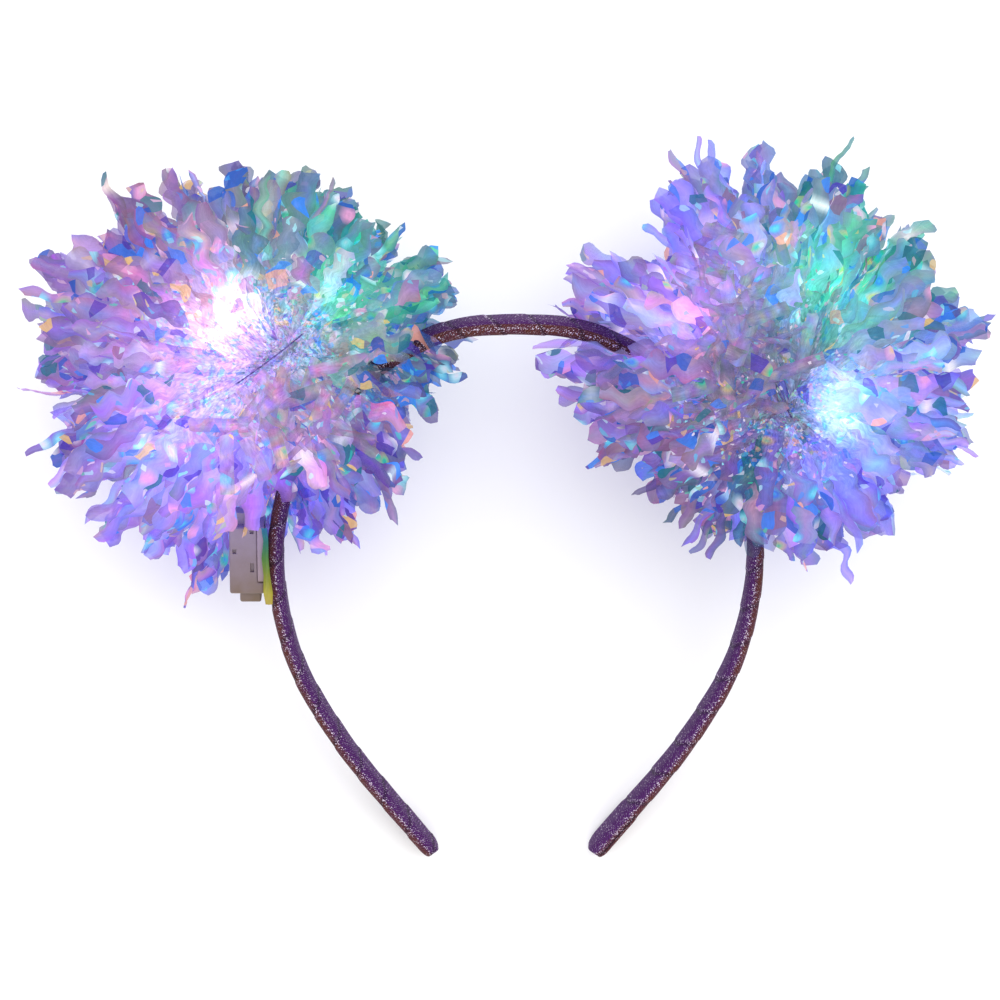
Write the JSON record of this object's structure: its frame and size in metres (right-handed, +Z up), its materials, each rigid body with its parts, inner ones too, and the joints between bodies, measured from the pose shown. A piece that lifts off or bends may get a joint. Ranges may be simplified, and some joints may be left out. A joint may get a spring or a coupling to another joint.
{
  "type": "light-up tinsel headband",
  "caption": "Fabric-wrapped hair band with a big lit tinsel pompom on each side and a small battery case with a push switch on one leg, lying on its back.",
  "frame": {"origin": "bottom centre of the bounding box, on the surface the headband lies on", "axes": "+X across the headband to the side without the battery case, +Y towards the crown of the band, +Z up from the surface"},
  "size_m": [0.2584, 0.1944, 0.0997],
  "materials": {
    "wrap_fabric": "purple fabric with glitter, wound round the band",
    "tinsel_film": "iridescent clear film, lilac to blue and green",
    "case_plastic": "satin taupe plastic",
    "wire": "thin dark wire",
    "lamp": "lit lamp drop"
  },
  "bodies": {
    "headband": {"band": "wrap_fabric", "pompom_left": "tinsel_film", "pompom_right": "tinsel_film", "tie_wire_left": "wire", "tie_wire_right": "wire", "pompom_post_left": "case_plastic", "pompom_post_right": "case_plastic", "lamp_left_1": "lamp", "lamp_left_2": "lamp", "lamp_left_3": "lamp", "lamp_right_1": "lamp", "lamp_right_2": "lamp", "lamp_right_3": "lamp", "battery_case": "case_plastic", "battery_lid": "case_plastic"},
    "button": {"switch_button": "case_plastic"}
  },
  "joints": [
    {"name": "switch_press", "type": "slide", "parent": "headband", "child": "button", "axis": [0, 0.9511, 0.309], "range_m": [0, 0.001], "stiffness_N_per_m": 300}
  ]
}
